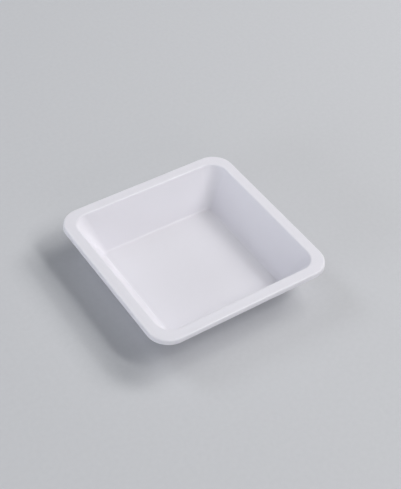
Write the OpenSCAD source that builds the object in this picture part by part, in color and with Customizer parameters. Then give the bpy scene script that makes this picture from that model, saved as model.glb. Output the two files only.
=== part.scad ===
// Square weighing boat: one thin sheet of white polystyrene, drawn into a shallow well
// with leaning walls, a flat rim and a turned-down lip.
//
// Millimetres, +Z up. The origin is at the middle of the underside, where the boat rests.

/* [Rim] */
// Outer width of the square boat, across the foot of its lip
rim_w = 85; // [70:0.5:140]
// Radius of the rim's corners, seen from above
rim_corner_r = 9.6; // [8:0.1:14]
// Width of the flat rim, from its outer edge to the mouth of the well
flange_w = 4.8; // [3:0.1:8]
// Depth of the turned-down lip, from the top of the rim
lip_drop = 2.2; // [1.6:0.1:4]
// Lean of the lip from upright, outwards as it goes down, in degrees
lip_lean = 4; // [0:0.5:12]
// Outer radius of the bend from the rim down to the lip
lip_bend_r = 0.8; // [0.7:0.05:1.5]

/* [Well] */
// Depth of the well, from the top of the rim to its floor
well_depth = 17; // [10:0.5:25]
// Lean of the walls from upright, outwards as they go up, in degrees
wall_lean = 30; // [20:1:35]
// Radius of the mouth's corners, seen from above
mouth_corner_r = 7.2; // [5:0.1:12]
// Radius of the floor's corners, seen from above
floor_corner_r = 2.4; // [2:0.1:6]
// Radius of the bend from the wall to the rim, on the upper face
mouth_bend_r = 0.9; // [0.8:0.05:2]
// Radius of the bend from the floor to the wall, on the upper face
floor_bend_r = 1.2; // [0.6:0.1:1.8]

/* [Sheet] */
// Thickness of the formed sheet
sheet_t = 0.3; // [0.2:0.05:0.6]

/* [Smoothness] */
// Flat steps round each corner, seen from above
corner_steps = 16; // [6:1:18]
// Flat steps along each bend of the section
bend_steps = 5; // [3:1:8]

/* [Hidden] */

// Heights of the horizontal faces, from the table up.
floor_z = sheet_t;
rim_z = floor_z + well_depth;
rim_under_z = rim_z - sheet_t;
lip_z = rim_z - lip_drop;

// Half widths of the upper face where its flats would meet with no bends.
lip_half = rim_w / 2;
rim_half = lip_half - lip_drop * tan(lip_lean);
mouth_half = rim_half - flange_w;
floor_half = mouth_half - well_depth * tan(wall_lean);

// The sheet's thickness, measured level through a leaning wall and through the lip.
wall_t = sheet_t / cos(wall_lean);
lip_t = sheet_t / cos(lip_lean);

// Half the distance between the corner axes of the well. The axes lean, because the
// mouth's corners are rounder than the floor's by less than the walls spread.
floor_axis = floor_half - floor_corner_r;
mouth_axis = mouth_half - mouth_corner_r;
function well_axis(z) = floor_axis + (mouth_axis - floor_axis) * (z - floor_z) / well_depth;

// A station is one closed line round the boat, a square with rounded corners, and holds
// [half width, corner radius, height].
function well_station(half, z) = [half, half - well_axis(z), z];
function rim_station(half, z) = [half, half - rim_half + rim_corner_r, z];
function centre_station(station) = [station[0] - station[1], 0, station[2]];

// Upper face of the sheet: the flats meet at these stations.
floor_edge = well_station(floor_half, floor_z);
mouth = well_station(mouth_half, rim_z);
rim = rim_station(rim_half, rim_z);
lip = rim_station(lip_half, lip_z);

// Lower face, one sheet thickness away on every flat.
lip_under = rim_station(lip_half - lip_t, lip_z);
rim_under = rim_station(rim_half + sheet_t * tan(lip_lean) - lip_t, rim_under_z);
mouth_under = well_station(mouth_half - sheet_t * tan(wall_lean) + wall_t, rim_under_z);
floor_under = well_station(floor_half - sheet_t * tan(wall_lean) + wall_t, 0);

// A step of the section is the run between two stations, without their corner radii.
function step(a, b) = [b[0] - a[0], b[2] - a[2]];
function turn(a, b, c) = acos(step(a, b) * step(b, c) / (norm(step(a, b)) * norm(step(b, c))));
function towards(a, b, distance) = a + (b - a) * distance / norm(step(a, b));

// A bend of radius r replaces station b on the way from a to c. It is a true arc in the
// section through a side, and the same curve blends the radii of the corners.
function bend(a, b, c, r) =
    let (
        angle = turn(a, b, c),
        from = towards(b, a, r * tan(angle / 2)),
        to = towards(b, c, r * tan(angle / 2)),
        pull = 2 * cos(angle / 2)
    )
    [
        for (i = [0 : bend_steps])
            let (u = i / bend_steps, v = 1 - u)
            (v * v * from + pull * u * v * b + u * u * to) / (v * v + pull * u * v + u * u)
    ];

// The flat of the floor ends where the bend to the walls begins, and keeps the axes of the
// floor's corners.
floor_flat = towards(floor_edge, centre_station(floor_edge), floor_bend_r * tan((90 - wall_lean) / 2));
floor_flat_under = [floor_flat[0], floor_flat[1], 0];

// The section of the sheet round its flat floor: out along the upper face, over the rim and
// down to the lip, and back along the lower face.
section = concat(
    bend(floor_flat, floor_edge, mouth, floor_bend_r),
    bend(floor_edge, mouth, rim, mouth_bend_r),
    bend(mouth, rim, lip, lip_bend_r),
    [lip, lip_under],
    bend(lip_under, rim_under, mouth_under, lip_bend_r - sheet_t),
    bend(rim_under, mouth_under, floor_under, mouth_bend_r - sheet_t),
    bend(mouth_under, floor_under, floor_flat_under, floor_bend_r + sheet_t)
);

// The points of one station, corner by corner, anticlockwise seen from above.
function ring(station) = [
    for (corner = [0 : 3])
        for (i = [0 : corner_steps])
            let (
                angle = 90 * (corner + i / corner_steps),
                axis = station[0] - station[1],
                right = corner == 0 || corner == 3 ? axis : -axis,
                back = corner < 2 ? axis : -axis
            )
            [right + station[1] * cos(angle), back + station[1] * sin(angle), station[2]]
];

// A skin over rings of points that lie side by side, the last of them beside the first.
module skin(rings) {
    count = len(rings[0]);
    polyhedron(
        [for (points = rings) each points],
        [
            for (k = [0 : len(rings) - 1])
                for (i = [0 : count - 1])
                    let (
                        this_ring = k * count,
                        next_ring = (k + 1) % len(rings) * count,
                        j = (i + 1) % count
                    )
                    [this_ring + i, this_ring + j, next_ring + j, next_ring + i]
        ]
    );
}

module flat_floor() {
    linear_extrude(sheet_t) polygon([for (point = ring(floor_flat)) [point[0], point[1]]]);
}

module walls_and_rim() {
    skin([for (station = section) ring(station)]);
}

module boat() {
    color("whitesmoke") {
        flat_floor();
        walls_and_rim();
    }
}

boat();
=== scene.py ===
import math

import bpy
from mathutils import Matrix, Vector


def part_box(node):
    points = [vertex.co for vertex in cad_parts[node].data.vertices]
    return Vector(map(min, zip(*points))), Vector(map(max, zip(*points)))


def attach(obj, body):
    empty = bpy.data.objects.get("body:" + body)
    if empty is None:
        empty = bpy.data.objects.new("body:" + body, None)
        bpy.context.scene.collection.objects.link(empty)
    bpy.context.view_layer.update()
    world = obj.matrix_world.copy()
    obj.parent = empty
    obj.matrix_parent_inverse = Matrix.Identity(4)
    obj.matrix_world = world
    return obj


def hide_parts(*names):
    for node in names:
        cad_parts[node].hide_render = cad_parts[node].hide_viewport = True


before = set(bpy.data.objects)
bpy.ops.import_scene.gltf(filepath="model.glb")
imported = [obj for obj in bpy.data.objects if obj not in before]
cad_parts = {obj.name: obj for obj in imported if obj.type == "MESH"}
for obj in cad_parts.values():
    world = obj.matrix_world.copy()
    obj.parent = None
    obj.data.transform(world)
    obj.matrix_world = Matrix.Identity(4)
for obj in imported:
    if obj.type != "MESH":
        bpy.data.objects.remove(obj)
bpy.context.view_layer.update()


# ---- The boat ----------------------------------------------------------------------------
# One sheet of white polystyrene, 0.3 mm thick and a little see-through. The hot sheet is drawn
# down into a square mould, which gives the flat floor, the leaning walls and the flat rim, and
# is then cut out of its web along the foot of the turned-down lip.

# Lengths are in metres.
SHEET = 0.0003
LIP_DROP = 0.0022
LIP_LEAN = math.radians(4)
LIP_BEND = 0.0008
RIM_WIDTH = 0.0048
WALL_LEAN = math.radians(30)
MOUTH_BEND = 0.0009
FLOOR_BEND = 0.0012
FLOOR_CORNER = 0.0024
MOUTH_CORNER = 0.0072
RIM_CORNER = 0.0096
CORNER_STEPS = 16
BEND_STEPS = 6

boat_low, boat_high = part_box("boat")
floor_z = boat_low.z + SHEET
rim_z = boat_high.z
lip_z = rim_z - LIP_DROP
lip_half = boat_high.x
rim_half = lip_half - LIP_DROP * math.tan(LIP_LEAN)
mouth_half = rim_half - RIM_WIDTH
floor_half = mouth_half - (rim_z - floor_z) * math.tan(WALL_LEAN)


def round_outline(half, corner, height):
    """A flat square face with round corners, centred over the origin."""
    bpy.ops.object.select_all(action="DESELECT")
    bpy.ops.mesh.primitive_plane_add(size=2 * half, location=(0, 0, height))
    bpy.ops.object.transform_apply(location=True, rotation=False, scale=True)
    bpy.ops.object.mode_set(mode="EDIT")
    bpy.ops.mesh.select_all(action="SELECT")
    bpy.ops.mesh.bevel(offset=corner, segments=CORNER_STEPS, profile=0.5, affect="VERTICES")
    bpy.ops.object.mode_set(mode="OBJECT")
    return bpy.context.object


def open_outline(half, corner, height):
    """The same outline with no face across it."""
    outline = round_outline(half, corner, height)
    bpy.ops.object.mode_set(mode="EDIT")
    bpy.ops.mesh.select_all(action="SELECT")
    bpy.ops.mesh.delete(type="ONLY_FACE")
    bpy.ops.object.mode_set(mode="OBJECT")
    return outline


mouth = open_outline(mouth_half, MOUTH_CORNER, rim_z)
rim = open_outline(rim_half, RIM_CORNER, rim_z)
lip = open_outline(lip_half, RIM_CORNER + lip_half - rim_half, lip_z)
boat = round_outline(floor_half, FLOOR_CORNER, floor_z)
for outline in (mouth, rim, lip):
    outline.select_set(True)
bpy.ops.object.join()
boat.name = "boat_sheet"

# A quarter of the way out over the flat rim parts the mouth from the rim's outer edge, whose
# round corners come further in than its sides.
RIM_PARTING = mouth_half + RIM_WIDTH / 4
SAME_HEIGHT = 1e-6


def on_floor(point):
    return abs(point.z - floor_z) < SAME_HEIGHT


def on_mouth(point):
    return abs(point.z - rim_z) < SAME_HEIGHT and max(abs(point.x), abs(point.y)) < RIM_PARTING


def on_rim(point):
    return abs(point.z - rim_z) < SAME_HEIGHT and max(abs(point.x), abs(point.y)) > RIM_PARTING


def on_lip(point):
    return abs(point.z - lip_z) < SAME_HEIGHT and max(abs(point.x), abs(point.y)) > RIM_PARTING


def select_outlines(*tests):
    """Selects the edges that have both ends on one of the outlines, and stays in edit mode."""
    bpy.ops.object.mode_set(mode="EDIT")
    bpy.ops.mesh.select_mode(type="EDGE")
    bpy.ops.mesh.select_all(action="DESELECT")
    bpy.ops.object.mode_set(mode="OBJECT")
    points = [vertex.co for vertex in boat.data.vertices]
    for edge in boat.data.edges:
        edge.select = any(all(test(points[i]) for i in edge.vertices) for test in tests)
    bpy.ops.object.mode_set(mode="EDIT")


for lower, upper in ((on_floor, on_mouth), (on_mouth, on_rim), (on_rim, on_lip)):
    select_outlines(lower, upper)
    bpy.ops.mesh.bridge_edge_loops()

# Each bend is a true radius: its tangent points lie radius * tan(half the turn) from the fold.
WALL_TURN = math.pi / 2 - WALL_LEAN
LIP_TURN = math.pi / 2 - LIP_LEAN
for fold, radius, angle in (
    (on_floor, FLOOR_BEND, WALL_TURN),
    (on_mouth, MOUTH_BEND, WALL_TURN),
    (on_rim, LIP_BEND, LIP_TURN),
):
    select_outlines(fold)
    reach = radius * math.tan(angle / 2)
    bpy.ops.mesh.bevel(offset=reach, segments=BEND_STEPS, profile=0.5, affect="EDGES")
bpy.ops.mesh.select_all(action="SELECT")
bpy.ops.mesh.normals_make_consistent(inside=False)
bpy.ops.object.mode_set(mode="OBJECT")

# The outlines and bends so far are the upper face, and the sheet's thickness lies below it. Only
# its cut edge at the foot of the lip stays sharp.
SHARP_FROM = math.radians(40)
sheet = boat.modifiers.new("sheet", "SOLIDIFY")
sheet.thickness = SHEET
sheet.offset = -1
sheet.use_even_offset = True
sheet.use_quality_normals = True
bpy.ops.object.modifier_apply(modifier="sheet")
bpy.ops.object.shade_smooth_by_angle(angle=SHARP_FROM)
flats = boat.modifiers.new("flats", "WEIGHTED_NORMAL")
flats.keep_sharp = True
flats.weight = 100
bpy.ops.object.modifier_apply(modifier="flats")

COOL_WHITE = (0.82, 0.81, 0.865, 1)
plastic = bpy.data.materials.new("satin_polystyrene")
plastic.use_nodes = True
nodes = plastic.node_tree.nodes
links = plastic.node_tree.links
shader = nodes["Principled BSDF"]
shader.inputs["Base Color"].default_value = COOL_WHITE
shader.inputs["IOR"].default_value = 1.59
shader.inputs["Subsurface Weight"].default_value = 0.45
shader.inputs["Subsurface Radius"].default_value = (1, 1, 1)
shader.inputs["Subsurface Scale"].default_value = 0.0006

# The sheet's surface: a fine grain, and slow waves and a patchy gloss where it cooled unevenly.
place = nodes.new("ShaderNodeTexCoord")
grain = nodes.new("ShaderNodeTexNoise")
grain.inputs["Scale"].default_value = 2200
grain.inputs["Detail"].default_value = 3
waves = nodes.new("ShaderNodeTexNoise")
waves.inputs["Scale"].default_value = 60
waves.inputs["Detail"].default_value = 2
for noise in (grain, waves):
    links.new(place.outputs["Object"], noise.inputs["Vector"])

gloss = nodes.new("ShaderNodeMapRange")
gloss.inputs["To Min"].default_value = 0.32
gloss.inputs["To Max"].default_value = 0.37
links.new(waves.outputs["Fac"], gloss.inputs["Value"])
links.new(gloss.outputs["Result"], shader.inputs["Roughness"])

wave_relief = nodes.new("ShaderNodeBump")
wave_relief.inputs["Strength"].default_value = 0.005
wave_relief.inputs["Distance"].default_value = 0.0004
links.new(waves.outputs["Fac"], wave_relief.inputs["Height"])
grain_relief = nodes.new("ShaderNodeBump")
grain_relief.inputs["Strength"].default_value = 0.2
grain_relief.inputs["Distance"].default_value = 0.00003
links.new(grain.outputs["Fac"], grain_relief.inputs["Height"])
links.new(wave_relief.outputs["Normal"], grain_relief.inputs["Normal"])
links.new(grain_relief.outputs["Normal"], shader.inputs["Normal"])

boat.data.materials.clear()
boat.data.materials.append(plastic)

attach(boat, "root")
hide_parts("boat")


# ---- The bench ---------------------------------------------------------------------------
# A plain pale matt laminate top with a faint fleck, so that the boat's own tones show. Far from
# the boat it fades into a pale backdrop of its own tone, which only the camera sees.

BACKDROP = (0.58, 0.59, 0.61, 1)
LAMINATE_DARK = (0.57, 0.58, 0.6, 1)
LAMINATE_LIGHT = (0.61, 0.62, 0.64, 1)
BENCH_WIDTH = 6
FADE_STARTS = 0.3
FADE_ENDS = 1.2

bpy.ops.object.select_all(action="DESELECT")
bpy.ops.mesh.primitive_plane_add(size=BENCH_WIDTH, location=(0, 0, 0))
bench = bpy.context.object
bench.name = "bench"
laminate = bpy.data.materials.new("pale_laminate")
laminate.use_nodes = True
nodes = laminate.node_tree.nodes
links = laminate.node_tree.links
matt = nodes["Principled BSDF"]
matt.inputs["Roughness"].default_value = 0.8
place = nodes.new("ShaderNodeTexCoord")
fleck = nodes.new("ShaderNodeTexNoise")
fleck.inputs["Scale"].default_value = 500
fleck.inputs["Detail"].default_value = 3
links.new(place.outputs["Object"], fleck.inputs["Vector"])
tone = nodes.new("ShaderNodeMix")
tone.data_type = "RGBA"
tone.inputs["A"].default_value = LAMINATE_DARK
tone.inputs["B"].default_value = LAMINATE_LIGHT
links.new(fleck.outputs["Fac"], tone.inputs["Factor"])
links.new(tone.outputs["Result"], matt.inputs["Base Color"])
relief = nodes.new("ShaderNodeBump")
relief.inputs["Strength"].default_value = 0.1
relief.inputs["Distance"].default_value = 0.0002
links.new(fleck.outputs["Fac"], relief.inputs["Height"])
links.new(relief.outputs["Normal"], matt.inputs["Normal"])

distance = nodes.new("ShaderNodeVectorMath")
distance.operation = "LENGTH"
links.new(place.outputs["Object"], distance.inputs["Vector"])
fade = nodes.new("ShaderNodeMapRange")
fade.interpolation_type = "SMOOTHSTEP"
fade.inputs["From Min"].default_value = FADE_STARTS
fade.inputs["From Max"].default_value = FADE_ENDS
links.new(distance.outputs["Value"], fade.inputs["Value"])
ray = nodes.new("ShaderNodeLightPath")
seen_fade = nodes.new("ShaderNodeMath")
seen_fade.operation = "MULTIPLY"
links.new(fade.outputs["Result"], seen_fade.inputs[0])
links.new(ray.outputs["Is Camera Ray"], seen_fade.inputs[1])
haze = nodes.new("ShaderNodeEmission")
haze.inputs["Color"].default_value = BACKDROP
bench_mix = nodes.new("ShaderNodeMixShader")
links.new(seen_fade.outputs["Value"], bench_mix.inputs["Fac"])
links.new(matt.outputs["BSDF"], bench_mix.inputs[1])
links.new(haze.outputs["Emission"], bench_mix.inputs[2])
links.new(bench_mix.outputs["Shader"], nodes["Material Output"].inputs["Surface"])
bench.data.materials.append(laminate)


# ---- Light -------------------------------------------------------------------------------
# Soft boxes, all at one distance. Those on the right light the floor, and leave the foot of the
# right wall in its own shade. The reflection of the long strip in front draws the bright line along
# the foot of the back wall. Boxes behind and low on the left open the shaded walls, and an even
# pale room fills the rest.

WHITE = (1, 0.985, 0.975)
COOL = (0.92, 0.95, 1)
LAMP_DISTANCE = 1.5


def soft_box(name, azimuth, elevation, width, height, power, colour, tilt=0, mirrored=True):
    """A lamp of this size in metres that faces the boat from this direction in degrees, anticlockwise
    from the right and up from the bench. Its tilt turns it in its own plane. One that isn't mirrored
    is left out of reflections."""
    a = math.radians(azimuth)
    e = math.radians(elevation)
    away = Vector((math.cos(a) * math.cos(e), math.sin(a) * math.cos(e), math.sin(e)))
    data = bpy.data.lights.new(name, "AREA")
    data.shape = "RECTANGLE"
    data.size = width
    data.size_y = height
    data.energy = power
    data.color = colour
    lamp = bpy.data.objects.new(name, data)
    lamp.visible_glossy = mirrored
    turn = away.to_track_quat("Z", "Y").to_matrix() @ Matrix.Rotation(math.radians(tilt), 3, "Z")
    lamp.matrix_world = Matrix.Translation(away * LAMP_DISTANCE) @ turn.to_4x4()
    bpy.context.scene.collection.objects.link(lamp)


soft_box("front_right_strip", 308, 50, 0.15, 0.6, 6.2, WHITE, tilt=-30)
soft_box("front_right_key", 335, 44, 0.3, 0.3, 1.4, WHITE, mirrored=False)
soft_box("right_key", 352, 41, 0.5, 0.4, 6.9, WHITE, mirrored=False)
soft_box("right_high_box", 14, 50, 0.5, 0.4, 4.5, WHITE, mirrored=False)
soft_box("back_box", 118, 42, 0.5, 0.6, 3.9, COOL)
soft_box("back_left_box", 145, 13, 0.3, 0.2, 0.8, COOL)
soft_box("left_box", 188, 9, 0.6, 0.6, 7.6, COOL, mirrored=False)
soft_box("front_box", 258, 19, 0.7, 0.5, 2, WHITE)

# The room's even light, and the backdrop that only the camera sees.
room = bpy.data.worlds.new("room")
room.use_nodes = True
nodes = room.node_tree.nodes
links = room.node_tree.links
room_walls = nodes["Background"]
room_walls.inputs["Color"].default_value = (*COOL, 1)
room_walls.inputs["Strength"].default_value = 0.16
backdrop = nodes.new("ShaderNodeBackground")
backdrop.inputs["Color"].default_value = BACKDROP
ray = nodes.new("ShaderNodeLightPath")
room_mix = nodes.new("ShaderNodeMixShader")
links.new(ray.outputs["Is Camera Ray"], room_mix.inputs["Fac"])
links.new(room_walls.outputs["Background"], room_mix.inputs[1])
links.new(backdrop.outputs["Background"], room_mix.inputs[2])
links.new(room_mix.outputs["Shader"], nodes["World Output"].inputs["Surface"])
bpy.context.scene.world = room
bpy.context.scene.view_settings.view_transform = "Standard"


# ---- Camera ------------------------------------------------------------------------------
# Above the front left corner, looking down at 45 degrees and a little tilted.

CAMERA_AZIMUTH = math.radians(-35.55)
CAMERA_ELEVATION = math.radians(45.02)
CAMERA_ROLL = math.radians(2.95)
CAMERA_DISTANCE = 0.4589
CAMERA_LENS = 80.76
AIM = Vector((0.0016, -0.0036, 0.0173))
back = Vector((
    math.sin(CAMERA_AZIMUTH) * math.cos(CAMERA_ELEVATION),
    -math.cos(CAMERA_AZIMUTH) * math.cos(CAMERA_ELEVATION),
    math.sin(CAMERA_ELEVATION),
))
camera_data = bpy.data.cameras.new("camera")
camera_data.lens = CAMERA_LENS
camera_data.clip_start = 0.01
camera = bpy.data.objects.new("camera", camera_data)
turn = (-back).to_track_quat("-Z", "Y").to_matrix().to_4x4()
roll = Matrix.Rotation(CAMERA_ROLL, 4, "Z")
camera.matrix_world = Matrix.Translation(AIM + back * CAMERA_DISTANCE) @ turn @ roll
bpy.context.scene.collection.objects.link(camera)
bpy.context.scene.camera = camera
